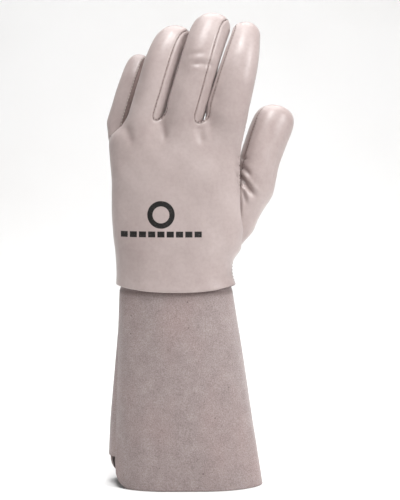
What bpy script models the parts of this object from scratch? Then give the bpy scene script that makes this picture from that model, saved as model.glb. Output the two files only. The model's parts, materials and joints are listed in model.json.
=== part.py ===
"""A long-cuffed welding glove for the left hand, standing on its cuff with the fingers up.

Metres, +Z up, origin at the middle of the box's base. -Y is the back of the hand, +Y the
palm and +X the thumb side. The soft leather of the hand is cut at the lines where it folds,
so that each zone between two folds is rigid and each fold is a short ring of its own.
"""

import math

import bmesh
import bpy
import numpy as np
from mathutils import Vector

MM = 0.001

# Leather, seams and thread
HAND_LEATHER = 1.0 * MM
CUFF_LEATHER = 1.4 * MM
THREAD = 0.6 * MM
CLEARANCE = 0.3 * MM
SEAM_GAP = THREAD + 2 * CLEARANCE
FOLD_GAP = HAND_LEATHER / 2
FORK_GAP = 2.5 * FOLD_GAP

# Cuff: a cone of split leather, oval at both ends, with one seam down the little-finger side
CUFF_LENGTH = 151 * MM
CUFF_TUCK = 8 * MM
CUFF_TOP = {"middle": (-18.6 * MM, -6.0 * MM), "half_width": 43.6 * MM, "half_depth": 27.0 * MM}
CUFF_RIM = {"middle": (-11.0 * MM, -6.0 * MM), "half_width": 59.4 * MM, "half_depth": 30.0 * MM}
CUFF_SEAM_ANGLE = math.radians(196)
CUFF_COLUMNS = 28
CUFF_ROWS = 6

# Hand: oval sections from the wrist seam up to the crotches of the fingers. Each one is the
# cuff's top made this much wider and deeper, at its own middle
WRIST_STEP = HAND_LEATHER + 4 * CLEARANCE
TUCK_INSET = 0.8 * MM
HAND_SECTIONS = (
    {"above_cuff": 20 * MM, "middle": (-19.4 * MM, -6.5 * MM), "wider": 1.6 * MM,
     "back_deeper": -2.0 * MM, "palm_deeper": 0.0 * MM},
    {"above_cuff": 44 * MM, "middle": (-18.4 * MM, -6.5 * MM), "wider": 5.0 * MM,
     "back_deeper": -4.0 * MM, "palm_deeper": 0.0 * MM},
    {"above_cuff": 80 * MM, "middle": (-18.6 * MM, -6.0 * MM), "wider": 5.6 * MM,
     "back_deeper": -7.0 * MM, "palm_deeper": -2.5 * MM},
    {"above_cuff": 106 * MM, "middle": (-18.8 * MM, -3.5 * MM), "wider": 6.4 * MM,
     "back_deeper": -8.0 * MM, "palm_deeper": -6.5 * MM},
)
WRIST_FOLD = 27 * MM
WRIST_HINGE = 14 * MM
ULNAR_SEAM_ANGLE = math.radians(236)
HAND_ROWS = 9

# Fingers, from the thumb side to the little-finger side. Each one after the index stands at
# a gap from its neighbour, in a direction turned this many degrees from -X towards the palm
FINGERS = {
    "index": {"root": (19.9, -7.0), "above_cuff": 129.0, "lean": 13.2, "length": 81.5,
              "knuckle": 40.0, "half_width": 15.0, "half_depth": 12.6, "tip": 0.76,
              "twist": 4.0},
    "middle": {"gap": 1.864, "turn": -3.668, "above_cuff": 132.0, "lean": 15.2, "length": 85.5,
               "knuckle": 42.0, "half_width": 14.4, "half_depth": 12.8, "tip": 1.0,
               "twist": 24.0},
    "ring": {"gap": 1.972, "turn": 7.774, "above_cuff": 133.0, "lean": 16.2, "length": 75.0,
             "knuckle": 38.0, "half_width": 13.2, "half_depth": 12.0, "tip": 0.97,
             "twist": 30.0},
    "little": {"gap": 3.8, "turn": 39.243, "above_cuff": 124.0, "lean": 15.4, "length": 61.0,
               "knuckle": 31.0, "half_width": 9.8, "half_depth": 9.4, "tip": 0.96,
               "twist": 28.0},
}
ROOT_TILT = math.radians(5)
LOWER_BEND = math.radians(9)
UPPER_BEND = math.radians(30)
DOME = 1.05
DOME_POWER = 2.3
TAPER_POWER = 2.5
CROTCH_DROP = 5.0 * MM
FINGER_FOLDS = {"root": 1.35, "mid": 1.45}
SEAM_ANGLE = math.radians(38)

# Thumb: set into an opening of the palm, its root this far out from the side of the cuff's top
THUMB = {"beyond": 17.0, "palmward": 13.0, "above_cuff": 76.0, "lean": 15.5,
         "length": 69.5, "knuckle": 37.0, "half_width": 16.8, "half_depth": 14.4,
         "tip": 0.98, "twist": 0.0}
THUMB_FOLDS = {"root": 1.1, "mid": 1.25}
THUMB_TILT = math.radians(8)
THUMB_BEND = math.radians(10)
THUMB_HOLE_ROWS = (0, 6)
THUMB_HOLE_COLUMNS = (20, 28)
THUMB_FLARE = 16 * MM

SQUARENESS = 2.3
DIGIT_SQUARENESS = 2.12
BACK_COLUMNS = 4
SIDE_COLUMNS = 2
FORK_EDGE = 0.2
DOME_ANGLES = (22, 42, 60, 75)
FOLD_ROWS = 2
LOWER_ROWS = 2
UPPER_ROWS = 2
NARROW_PANELS = ("inner_side", "ulnar_side", "radial_side")
NARROWEST = 2.2 * SEAM_GAP
TIP_CORNER = 0.12

GRAIN = {"colour": (0.62, 0.55, 0.54, 1), "roughness": 0.45}
SPLIT = {"colour": (0.42, 0.36, 0.35, 1), "roughness": 0.95}
SEWING = {"colour": (0.78, 0.74, 0.70, 1), "roughness": 0.7}


def clear_scene():
    for obj in list(bpy.data.objects):
        bpy.data.objects.remove(obj)


def make_material(name, look):
    material = bpy.data.materials.new(name)
    material.use_nodes = True
    shader = material.node_tree.nodes["Principled BSDF"]
    shader.inputs["Base Color"].default_value = look["colour"]
    shader.inputs["Roughness"].default_value = look["roughness"]
    shader.inputs["Metallic"].default_value = 0.0
    return material


def rounded(value, squareness):
    """A cosine or sine, drawn out so that an oval made from it is a little square."""
    return math.copysign(abs(value) ** (2 / squareness), value)


def oval(middle, across, palmward, half_width, back_depth, palm_depth, angle,
         squareness=SQUARENESS):
    """Angle 0 is the thumb side, a quarter turn the back, a half the little-finger side."""
    depth = back_depth if math.sin(angle) >= 0 else palm_depth
    return (middle + across * (half_width * rounded(math.cos(angle), squareness))
            - palmward * (depth * rounded(math.sin(angle), squareness)))


def even_angles(half_width, back_depth, palm_depth, start, end, shares):
    """Angles that lie at these shares of the oval's own length between start and end."""
    steps = np.linspace(start, end, 241)
    here = [oval(Vector(), Vector((1, 0, 0)), Vector((0, 1, 0)),
                 half_width, back_depth, palm_depth, a) for a in steps]
    lengths = np.cumsum([0.0] + [(b - a).length for a, b in zip(here, here[1:])])
    return [float(a) for a in np.interp(np.array(shares) * lengths[-1], lengths, steps)]


def smooth_through(knots, points, at):
    """The point at this height on a smooth curve through the points at the knots."""
    slopes = []
    for i in range(len(points)):
        low, high = max(i - 1, 0), min(i + 1, len(points) - 1)
        slopes.append((points[high] - points[low]) / (knots[high] - knots[low]))
    i = min(max(sum(k <= at for k in knots) - 1, 0), len(knots) - 2)
    span = knots[i + 1] - knots[i]
    t = (at - knots[i]) / span
    return (points[i] * (2 * t**3 - 3 * t**2 + 1) + slopes[i] * (span * (t**3 - 2 * t**2 + t))
            + points[i + 1] * (3 * t**2 - 2 * t**3) + slopes[i + 1] * (span * (t**3 - t**2)))


# --- digits -----------------------------------------------------------------------------

def root_of(sizes, neighbour):
    """Where a digit starts: beside the finger before it, beside the hand, or at its own place."""
    if "beyond" in sizes:
        x = CUFF_TOP["middle"][0] + CUFF_TOP["half_width"] + sizes["beyond"] * MM
        y = sizes["palmward"] * MM
    elif neighbour is None:
        x, y = (value * MM for value in sizes["root"])
    else:
        apart = neighbour["half_width"] + (sizes["half_width"] + sizes["gap"]) * MM
        turn = math.radians(sizes["turn"])
        x = neighbour["root"].x - apart * math.cos(turn)
        y = neighbour["root"].y + apart * math.sin(turn)
    return Vector((x, y, CUFF_LENGTH + sizes["above_cuff"] * MM))


def digit(sizes, tilt, lower_bend, upper_bend, neighbour=None):
    """A finger or the thumb as its spine of two arcs, with its sizes in metres."""
    lean = math.radians(sizes["lean"])
    return {
        "root": root_of(sizes, neighbour),
        "up": Vector((math.sin(lean), 0, math.cos(lean))),
        "across": Vector((math.cos(lean), 0, -math.sin(lean))),
        "palm": Vector((0, 1, 0)),
        "length": sizes["length"] * MM,
        "knuckle": sizes["knuckle"] * MM,
        "half_width": sizes["half_width"] * MM,
        "half_depth": sizes["half_depth"] * MM,
        "twist": math.radians(sizes["twist"]),
        "tip": sizes["tip"],
        "tilt": tilt, "lower_bend": lower_bend, "upper_bend": upper_bend,
    }


def spine(part, s):
    """The spine's point at s from the root, and how far it leans to the palm there."""
    point, tilt = part["root"].copy(), part["tilt"]
    arcs = ((part["knuckle"], part["lower_bend"]),
            (part["length"] - part["knuckle"], part["upper_bend"]))
    for length, bend in arcs:
        run = min(s, length)
        turn = bend / length
        end = tilt + turn * run
        point = (point + part["up"] * ((math.sin(end) - math.sin(tilt)) / turn)
                 + part["palm"] * ((math.cos(tilt) - math.cos(end)) / turn))
        tilt = end
        s -= run
    return point, tilt


def dome_length(part):
    return DOME * part["half_depth"]


def girth(part, s):
    """How large the section is at s, as a share of the root's: it tapers, then the tip closes."""
    straight = part["length"] - dome_length(part)
    if s <= straight:
        return 1 - (1 - part["tip"]) * (s / straight) ** TAPER_POWER
    up_the_dome = min(1.0, (s - straight) / dome_length(part))
    return part["tip"] * (1 - up_the_dome ** DOME_POWER) ** (1 / DOME_POWER)


def narrowed(part, s, angle):
    """The same place round the digit once its side strips run out over the dome of the tip."""
    straight = part["length"] - dome_length(part)
    t = min(max((s - straight) / dome_length(part), 0.0), 1.0)
    strip = SEAM_ANGLE * (1 - t * t * (3 - 2 * t))
    turns, within = divmod(angle + SEAM_ANGLE, math.pi)
    within -= SEAM_ANGLE
    if within <= SEAM_ANGLE:
        return turns * math.pi + within * strip / SEAM_ANGLE
    panel = (math.pi - 2 * strip) / (math.pi - 2 * SEAM_ANGLE)
    return turns * math.pi + strip + (within - SEAM_ANGLE) * panel


def section(part, s, angle):
    """A point of the digit's skin at s along it, at this angle round it before its twist."""
    angle = narrowed(part, s, angle)
    middle, tilt = spine(part, s)
    palmward = part["palm"] * math.cos(tilt) - part["up"] * math.sin(tilt)
    size = girth(part, s)
    width, depth = part["half_width"] * size, part["half_depth"] * size
    return oval(middle, part["across"], palmward, width, depth, depth,
                angle + part["twist"], DIGIT_SQUARENESS)


def between(start, end, count):
    return [start + (end - start) * i / count for i in range(count + 1)]


def side_angles(name):
    """The angles of a digit's panels, in order round it: name of the panel to its columns."""
    back = between(SEAM_ANGLE, math.pi - SEAM_ANGLE, BACK_COLUMNS)
    ulnar = between(math.pi - SEAM_ANGLE, math.pi + SEAM_ANGLE, SIDE_COLUMNS)
    palm = between(math.pi + SEAM_ANGLE, 2 * math.pi - SEAM_ANGLE, BACK_COLUMNS)
    radial = between(2 * math.pi - SEAM_ANGLE, 2 * math.pi + SEAM_ANGLE, SIDE_COLUMNS)
    if name == "index":
        return {"back": [0.0] + back, "inner_side": ulnar, "palm": palm + [2 * math.pi]}
    if name == "little":
        return {"back": back + ulnar[1:], "palm": palm, "inner_side": radial}
    if name == "thumb":
        half = 12
        return {"back": between(0, math.pi, half), "palm": between(math.pi, 2 * math.pi, half)}
    return {"back": back, "ulnar_side": ulnar, "palm": palm, "radial_side": radial}


def zones(part, folds):
    """Where the folds and the rigid zones start and end along a digit."""
    root_fold = folds["root"] * part["half_depth"]
    half_mid = folds["mid"] * part["half_depth"] / 2
    return {
        "root_fold": (FORK_GAP, root_fold),
        "lower": (root_fold, part["knuckle"] - half_mid),
        "mid_fold": (part["knuckle"] - half_mid, part["knuckle"] + half_mid),
        "upper": (part["knuckle"] + half_mid, part["length"]),
    }


def upper_steps(part, start, count):
    """Stations from start up to the dome, and then round it to just short of its pole."""
    straight = part["length"] - dome_length(part)
    round_tip = [straight + dome_length(part) * math.sin(math.radians(a)) for a in DOME_ANGLES]
    return between(start, straight, count) + round_tip


# --- bodies -----------------------------------------------------------------------------

def body(name, at, parent=None):
    """An empty on a joint, which carries every piece that turns with it."""
    empty = bpy.data.objects.new(name, None)
    empty.empty_display_size = 10 * MM
    bpy.context.scene.collection.objects.link(empty)
    empty.location = at
    if parent:
        empty.parent = parent["empty"]
        empty.location = at - parent["at"]
    return {"empty": empty, "at": at}


def attach(obj, carrier):
    obj.parent = carrier["empty"]
    obj.location = -carrier["at"]
    return obj


def stand_at_origin(frame):
    """Moves the whole glove so that the middle of its base is the origin."""
    bpy.context.view_layer.update()
    corners = [obj.matrix_world @ Vector(corner) for obj in bpy.data.objects
               if obj.type in {"MESH", "CURVE"} for corner in obj.bound_box]
    low = Vector([min(c[i] for c in corners) for i in range(3)])
    high = Vector([max(c[i] for c in corners) for i in range(3)])
    frame["empty"].location = Vector((-(low.x + high.x) / 2, -(low.y + high.y) / 2, -low.z))


# --- solids -----------------------------------------------------------------------------

def pulled_in(rows, ends, sides):
    """The same grid with its border moved in, to leave the seams and zone cuts open."""
    rows = [[p.copy() for p in row] for row in rows]
    if sides:
        for row in rows:
            first, last = row[1] - row[0], row[-2] - row[-1]
            row[0] += first.normalized() * sides
            row[-1] += last.normalized() * sides
    if ends:
        starts = [(b - a).normalized() * ends for a, b in zip(rows[0], rows[1])]
        stops = [(b - a).normalized() * ends for a, b in zip(rows[-1], rows[-2])]
        rows[0] = [p + move for p, move in zip(rows[0], starts)]
        rows[-1] = [p + move for p, move in zip(rows[-1], stops)]
    return rows


def leather(name, rows, material, carrier, thickness=HAND_LEATHER, closed=False, hole=None):
    """A sheet over a grid of points of its outer face, given its thickness inwards."""
    bm = bmesh.new()
    grid = [[bm.verts.new(p) for p in row] for row in rows]
    columns = len(rows[0])
    for r in range(len(rows) - 1):
        for c in range(columns if closed else columns - 1):
            if hole and hole[0][0] <= r < hole[0][1] and hole[1][0] <= c < hole[1][1]:
                continue
            d = (c + 1) % columns
            bm.faces.new((grid[r][c], grid[r + 1][c], grid[r + 1][d], grid[r][d]))
    bmesh.ops.delete(bm, geom=[v for v in bm.verts if not v.link_faces], context="VERTS")
    mesh = bpy.data.meshes.new(name)
    bm.to_mesh(mesh)
    bm.free()
    mesh.materials.append(material)
    obj = bpy.data.objects.new(name, mesh)
    bpy.context.scene.collection.objects.link(obj)
    wall = obj.modifiers.new("leather", "SOLIDIFY")
    wall.thickness = thickness
    wall.offset = -1.0
    return attach(obj, carrier)


def two_faced(name, outer, inner, material, carrier, closed=False):
    """A sheet between two grids of points, the outer face and the inner one."""
    bm = bmesh.new()
    outside, inside = ([[bm.verts.new(p) for p in row] for row in grid] for grid in (outer, inner))
    last = len(outer) - 1
    columns = len(outer[0])
    for c in range(columns if closed else columns - 1):
        d = (c + 1) % columns
        for r in range(last):
            bm.faces.new((outside[r][c], outside[r + 1][c], outside[r + 1][d], outside[r][d]))
            bm.faces.new((inside[r][c], inside[r][d], inside[r + 1][d], inside[r + 1][c]))
        bm.faces.new((outside[0][c], outside[0][d], inside[0][d], inside[0][c]))
        bm.faces.new((outside[last][c], inside[last][c], inside[last][d], outside[last][d]))
    for r in range(0 if closed else last):
        bm.faces.new((outside[r][0], inside[r][0], inside[r + 1][0], outside[r + 1][0]))
        bm.faces.new((outside[r][-1], outside[r + 1][-1], inside[r + 1][-1], inside[r][-1]))
    mesh = bpy.data.meshes.new(name)
    bm.to_mesh(mesh)
    bm.free()
    mesh.materials.append(material)
    obj = bpy.data.objects.new(name, mesh)
    bpy.context.scene.collection.objects.link(obj)
    return attach(obj, carrier)


def walled(name, rows, cores, material, carrier, closed=False):
    """A sheet of a digit: its inner face lies towards the core point of each row."""
    inner = [[p + (core - p).normalized() * HAND_LEATHER for p in row]
             for row, core in zip(rows, cores)]
    return two_faced(name, rows, inner, material, carrier, closed)


def sewn_thread(name, points, material, carrier, cyclic=False):
    """A seam's thread as one cord that lies in the seam."""
    curve = bpy.data.curves.new(name, "CURVE")
    curve.dimensions = "3D"
    curve.bevel_depth = THREAD / 2
    curve.bevel_resolution = 1
    curve.use_fill_caps = not cyclic
    line = curve.splines.new("POLY")
    line.points.add(len(points) - 1)
    for target, point in zip(line.points, points):
        target.co = (*point, 1)
    line.use_cyclic_u = cyclic
    curve.materials.append(material)
    obj = bpy.data.objects.new(name, curve)
    bpy.context.scene.collection.objects.link(obj)
    return attach(obj, carrier)


# --- cuff -------------------------------------------------------------------------------

def cuff_section(height, smaller=0.0):
    """The cuff's oval at this height: its middle, half width and half depth."""
    share = height / CUFF_LENGTH
    low, high = CUFF_RIM, CUFF_TOP
    middle = Vector((*low["middle"], 0)).lerp(Vector((*high["middle"], 0)), share)
    middle.z = height
    half_width = low["half_width"] + (high["half_width"] - low["half_width"]) * share
    half_depth = low["half_depth"] + (high["half_depth"] - low["half_depth"]) * share
    return middle, half_width - smaller, half_depth - smaller


def cuff_point(height, angle, smaller=0.0):
    middle, half_width, half_depth = cuff_section(height, smaller)
    return oval(middle, Vector((1, 0, 0)), Vector((0, 1, 0)),
                half_width, half_depth, half_depth, angle)


def make_cuff(split, sewing, carrier):
    heights = between(0, CUFF_LENGTH, CUFF_ROWS) + [CUFF_LENGTH + CUFF_TUCK]
    start, end = CUFF_SEAM_ANGLE, CUFF_SEAM_ANGLE + 2 * math.pi
    middle, half_width, half_depth = cuff_section(0)
    angles = even_angles(half_width, half_depth, half_depth, start, end,
                         between(0, 1, CUFF_COLUMNS))
    faces = []
    for depth in (0.0, CUFF_LEATHER):
        rows = [[cuff_point(min(z, CUFF_LENGTH), a, depth) for a in angles] for z in heights]
        rows[-1] = [cuff_point(CUFF_LENGTH, a, TUCK_INSET + depth) + Vector((0, 0, CUFF_TUCK))
                    for a in angles]
        faces.append(pulled_in(rows, 0, SEAM_GAP / 2))
    two_faced("cuff_split_leather", *faces, split, carrier)
    seam = [cuff_point(z, CUFF_SEAM_ANGLE, CUFF_LEATHER / 2) for z in heights[:-1]]
    seam[0].z += CLEARANCE
    sewn_thread("cuff_side_thread", seam, sewing, carrier)
    inside = TUCK_INSET + CUFF_LEATHER + CLEARANCE + THREAD / 2
    ring = [cuff_point(CUFF_LENGTH, a, inside) for a in angles[:-1]]
    for p in ring:
        p.z = CUFF_LENGTH + CUFF_TUCK / 2
    sewn_thread("wrist_seam_thread", ring, sewing, carrier, cyclic=True)


# --- hand -------------------------------------------------------------------------------

def crotch(outer, inner, k):
    """One line across a crotch: down the thumb-side finger, round, and up its neighbour."""
    a = section(outer, 0, math.pi - SEAM_ANGLE + k * 2 * SEAM_ANGLE)
    b = section(inner, 0, SEAM_ANGLE - k * 2 * SEAM_ANGLE)
    up = (outer["up"] + inner["up"]).normalized()
    steps = [math.radians(t) for t in (0, 45, 90, 135, 180)]
    return [(a + b) / 2 + (a - b) / 2 * math.cos(t) - up * (CROTCH_DROP * math.sin(t))
            for t in steps]


def hand_top(fingers):
    """The row of points where the hand ends: (back and little-finger side, palm)."""
    names = list(fingers)
    back, palm = [], []
    for i, name in enumerate(names):
        part, columns = fingers[name], side_angles(name)
        back += [section(part, 0, a) for a in columns["back"]]
        palm += [section(part, 0, a) for a in reversed(columns["palm"])]
        if i < len(names) - 1:
            neighbour = fingers[names[i + 1]]
            back += crotch(part, neighbour, 0)[1:-1]
            palm += crotch(part, neighbour, 1)[1:-1]
    return back, palm[::-1]


def shares_of(points):
    """Each point's share of the way along the line of points."""
    lengths = np.cumsum([0.0] + [(b - a).length for a, b in zip(points, points[1:])])
    return list(lengths / lengths[-1])


def wrist_section():
    """The hand's own oval at the wrist seam, just outside the cuff's top."""
    step = WRIST_STEP
    return {"above_cuff": 0.0, "middle": CUFF_TOP["middle"], "wider": step,
            "back_deeper": step, "palm_deeper": step}


def hand_grid(top, start, end):
    """Rows up the hand for one panel, as a function of the height above the cuff."""
    shares = shares_of(top)
    lines = []
    ovals = (wrist_section(),) + HAND_SECTIONS
    for cut in ovals:
        sizes = (CUFF_TOP["half_width"] + cut["wider"],
                 CUFF_TOP["half_depth"] + cut["back_deeper"],
                 CUFF_TOP["half_depth"] + cut["palm_deeper"])
        middle = Vector((*cut["middle"], CUFF_LENGTH + cut["above_cuff"]))
        angles = even_angles(*sizes, start, end, shares)
        lines.append([oval(middle, Vector((1, 0, 0)), Vector((0, 1, 0)), *sizes, a)
                      for a in angles])
    lines.append(top)
    crotch_height = sum(p.z for p in top) / len(top) - CUFF_LENGTH
    knots = [cut["above_cuff"] for cut in ovals] + [crotch_height]

    def row(height):
        return [smooth_through(knots, [line[i] for line in lines], height)
                for i in range(len(top))]

    return row, crotch_height


def inward_of(point, along, across):
    """The direction through the leather at a point of the hand, from outside to inside."""
    normal = along.cross(across).normalized()
    middle = Vector((*HAND_SECTIONS[1]["middle"], point.z))
    return normal if normal.dot(middle - point) > 0 else -normal


def make_hand(fingers, grain, sewing, cuff, hand):
    back_top, palm_top = hand_top(fingers)
    back_row, back_end = hand_grid(back_top, 0.0, ULNAR_SEAM_ANGLE)
    palm_row, palm_end = hand_grid(palm_top, ULNAR_SEAM_ANGLE, 2 * math.pi)
    cut = FOLD_GAP
    steps = between(0, 1, HAND_ROWS)
    back = [back_row(WRIST_FOLD + (back_end - WRIST_FOLD) * t) for t in steps]
    palm = [palm_row(WRIST_FOLD + (palm_end - WRIST_FOLD) * t) for t in steps]
    leather("hand_back_leather", pulled_in(back, cut, SEAM_GAP / 2), grain, hand)
    leather("hand_palm_leather", pulled_in(palm, cut, SEAM_GAP / 2), grain, hand,
            hole=(THUMB_HOLE_ROWS, THUMB_HOLE_COLUMNS))
    fold = []
    for height in between(CLEARANCE, WRIST_FOLD, 3):
        fold.append(back_row(height) + palm_row(height)[1:-1])
    leather("wrist_fold_leather", pulled_in(fold, cut, 0), grain, cuff, closed=True)
    seams = {"thumb_side_seam_thread": [(low[0], high[0], low[1] - beside[-2])
                                        for low, high, beside in zip(back[:-3], back[1:], palm)],
             "palm_edge_seam_thread": [(low[-1], high[-1], beside[1] - low[-2])
                                       for low, high, beside in zip(back[:-3], back[1:], palm)]}
    for name, line in seams.items():
        sunk = [p + inward_of(p, q - p, across) * HAND_LEATHER / 2 for p, q, across in line]
        sewn_thread(name, sunk, sewing, hand)
    return palm


def make_forks(fingers, grain, carrier):
    """The bottoms of the strips that run down one finger and up the next."""
    names = list(fingers)
    for a, b in zip(names, names[1:]):
        lines = [crotch(fingers[a], fingers[b], k)
                 for k in between(FORK_EDGE, 1 - FORK_EDGE, 2 * SIDE_COLUMNS)]
        rows = [[line[i] for line in lines] for i in reversed(range(len(lines[0])))]
        leather(f"{a}_{b}_fork", pulled_in(rows, FORK_GAP, 0), grain, carrier)


# --- fingers and thumb --------------------------------------------------------------------

def grid_of(part, stations, angles):
    return [[section(part, s, a) for a in angles] for s in stations]


def cores_of(part, stations):
    """The point that the inner face turns towards at each station, none of them past the dome's foot."""
    straight = part["length"] - dome_length(part)
    return [spine(part, min(s, straight))[0] for s in stations]


def close_tip(rows):
    """One more row, straight across from seam to seam, so that two panels meet over the tip."""
    first, last = rows[-1][0], rows[-1][-1]
    shares = between(TIP_CORNER, 1 - TIP_CORNER, len(rows[-1]) - 1)
    return rows + [[first.lerp(last, share) for share in shares]]


def make_digit(name, part, panels, folds, grain, sewing, hand):
    """The folds and the panels of one digit, and the thread of its back seam."""
    zone = zones(part, folds)
    at = {"lower": spine(part, zone["root_fold"][1] / 2)[0], "upper": spine(part, part["knuckle"])[0]}
    lower = body(f"{name}_root_joint", at["lower"], hand)
    upper = body(f"{name}_mid_joint", at["upper"], lower)
    ring = []
    for angles in panels.values():
        ring += angles[:-1]
    cut = CLEARANCE / 2
    for label, carrier in (("root_fold", hand), ("mid_fold", lower)):
        along = between(*zone[label], FOLD_ROWS)
        rows = pulled_in(grid_of(part, along, ring), cut, 0)
        walled(f"{name}_{label}", rows, cores_of(part, along), grain, carrier, closed=True)
    stations = {"lower": between(*zone["lower"], LOWER_ROWS),
                "upper": upper_steps(part, zone["upper"][0], UPPER_ROWS)}
    for level, carrier in (("lower", lower), ("upper", upper)):
        for panel, angles in panels.items():
            rows = grid_of(part, stations[level], angles)
            cores = cores_of(part, stations[level])
            if panel in NARROW_PANELS:
                rows = [row for row in rows if (row[-1] - row[0]).length > NARROWEST]
            elif level == "upper":
                rows, cores = close_tip(rows), cores + cores[-1:]
            rows = pulled_in(rows, cut, SEAM_GAP / 2)
            walled(f"{name}_{panel}_{level}", rows, cores, grain, carrier)
    seam = []
    for s in stations["upper"][:-2]:
        point, centre = section(part, s, panels["back"][0]), spine(part, s)[0]
        seam.append(point + (centre - point).normalized() * HAND_LEATHER / 2)
    sewn_thread(f"{name}_back_seam_thread", seam, sewing, upper)


def thumb_flare(part, palm, grain, hand):
    """The leather between the palm's opening and the thumb's root ring."""
    (low, high), (left, right) = THUMB_HOLE_ROWS, THUMB_HOLE_COLUMNS
    loop = [palm[low][c] for c in range(left, right)]
    loop += [palm[r][right] for r in range(low, high)]
    loop += [palm[high][c] for c in range(right, left, -1)]
    loop += [palm[r][left] for r in range(high, low, -1)]
    sides = (right - left, high - low, right - left, high - low)
    angles = []
    for quarter, count in enumerate(sides):
        start = math.radians(-45 + 90 * quarter)
        angles += between(start, start + math.pi / 2, count)[:-1]
    centre = sum(loop, Vector()) / len(loop)
    rows = []
    along = part["up"] * math.cos(part["tilt"]) + part["palm"] * math.sin(part["tilt"])
    for t in between(0, 1, 3):
        row = []
        for p, angle in zip(loop, angles):
            q = section(part, 0, angle)
            out = (q - centre).normalized() * THUMB_FLARE
            row.append(p * (2 * t**3 - 3 * t**2 + 1) + out * (t**3 - 2 * t**2 + t)
                       + q * (3 * t**2 - 2 * t**3) + along * THUMB_FLARE * (t**3 - t**2))
        rows.append(row)
    edge = HAND_LEATHER
    rows[0] = [a + (centre - a).normalized() * edge for a in rows[0]]
    rows[-1] = [a + (b - a).normalized() * CLEARANCE / 2 for a, b in zip(rows[-1], rows[-2])]
    leather("thumb_set_in_leather", rows, grain, hand, closed=True)


def build():
    clear_scene()
    grain = make_material("grain_leather", GRAIN)
    split = make_material("split_leather", SPLIT)
    sewing = make_material("sewing_thread", SEWING)
    fingers, neighbour = {}, None
    for name, sizes in FINGERS.items():
        neighbour = digit(sizes, ROOT_TILT, LOWER_BEND, UPPER_BEND, neighbour)
        fingers[name] = neighbour
    thumb = digit(THUMB, THUMB_TILT, THUMB_BEND, THUMB_BEND)
    frame = body("glove_frame", Vector())
    cuff = body("cuff_body", Vector(), frame)
    wrist = Vector((*CUFF_TOP["middle"], CUFF_LENGTH + WRIST_HINGE))
    hand = body("wrist_joint", wrist, cuff)
    make_cuff(split, sewing, cuff)
    palm = make_hand(fingers, grain, sewing, cuff, hand)
    make_forks(fingers, grain, hand)
    for name, part in fingers.items():
        make_digit(name, part, side_angles(name), FINGER_FOLDS, grain, sewing, hand)
    thumb_flare(thumb, palm, grain, hand)
    make_digit("thumb", thumb, side_angles("thumb"), THUMB_FOLDS, grain, sewing, hand)
    stand_at_origin(frame)


build()
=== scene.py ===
import json
import math

import bpy
import numpy as np
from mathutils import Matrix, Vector
from mathutils.bvhtree import BVHTree
from mathutils.kdtree import KDTree


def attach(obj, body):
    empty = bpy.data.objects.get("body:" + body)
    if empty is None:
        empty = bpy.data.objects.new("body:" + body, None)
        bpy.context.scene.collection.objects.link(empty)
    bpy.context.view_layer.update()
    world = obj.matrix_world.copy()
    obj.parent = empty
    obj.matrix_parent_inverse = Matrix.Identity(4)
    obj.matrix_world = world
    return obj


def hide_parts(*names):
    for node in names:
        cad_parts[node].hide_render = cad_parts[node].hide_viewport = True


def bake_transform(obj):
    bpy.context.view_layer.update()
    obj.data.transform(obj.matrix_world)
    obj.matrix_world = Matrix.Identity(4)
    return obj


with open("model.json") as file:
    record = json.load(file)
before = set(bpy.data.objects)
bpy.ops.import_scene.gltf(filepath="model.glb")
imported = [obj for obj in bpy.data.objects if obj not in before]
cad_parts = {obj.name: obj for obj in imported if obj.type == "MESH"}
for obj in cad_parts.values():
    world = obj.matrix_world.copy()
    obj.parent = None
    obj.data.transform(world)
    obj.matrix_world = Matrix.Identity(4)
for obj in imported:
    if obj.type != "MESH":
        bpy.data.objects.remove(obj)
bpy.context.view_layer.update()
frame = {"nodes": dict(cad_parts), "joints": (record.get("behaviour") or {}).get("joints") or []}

# A left-hand welding glove: grain leather hand sewn to a long split leather cuff.
# Lengths in the dictionaries are millimetres, in the glove's own axes: +X thumb side,
# -Y back of the hand, +Z up, with the cuff's rim at height 0. They match the frame.

mm = 0.001
joints = {j["name"]: j for j in frame["joints"]}
cuffLength = 151.0
hingeAboveCuff = 14.0
cuffTop = {"middle": (-18.6, -6.0), "halfWidth": 43.6, "halfDepth": 27.0}
cuffRim = {"middle": (-11.0, -6.0), "halfWidth": 59.4, "halfDepth": 30.0}
wristHinge = np.array([cuffTop["middle"][0], cuffTop["middle"][1], cuffLength + hingeAboveCuff])
shift = np.array(joints["wrist_bend"]["pos_m"]) / mm - wristHinge   # from these axes to the frame's
print("frame loaded, shift in mm", [round(float(v), 3) for v in shift])


def toFrame(points):
    return (np.asarray(points, float) + shift) * mm


# the leathers and the threads


def linearColour(code):
    channels = [int(code[i:i + 2], 16) / 255 for i in (1, 3, 5)]
    return tuple(c / 12.92 if c <= 0.04045 else ((c + 0.055) / 1.055) ** 2.4 for c in channels) + (1.0,)


def setInputs(tree, node, inputs):
    # an input takes a plain value, a colour code, a socket, or a node, which stands for its first output
    for key, value in inputs.items():
        if isinstance(value, bpy.types.Node):
            value = value.outputs[0]
        if isinstance(value, bpy.types.NodeSocket):
            tree.links.new(value, node.inputs[key])
        else:
            node.inputs[key].default_value = linearColour(value) if isinstance(value, str) else value


def addNode(tree, kind, inputs=None, **settings):
    made = tree.nodes.new(kind)
    for key, value in settings.items():
        setattr(made, key, value)
    setInputs(tree, made, inputs or {})
    return made


def newMaterial(name, shader):
    material = bpy.data.materials.new(name)
    material.use_nodes = True
    tree = material.node_tree
    principled = tree.nodes["Principled BSDF"]
    setInputs(tree, principled, shader)
    place = addNode(tree, "ShaderNodeTexCoord").outputs["Object"]
    return material, tree, principled, place


def perMm(size):
    return 1.0 / (size * mm)    # a texture's scale for a pattern that repeats about every size mm


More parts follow.
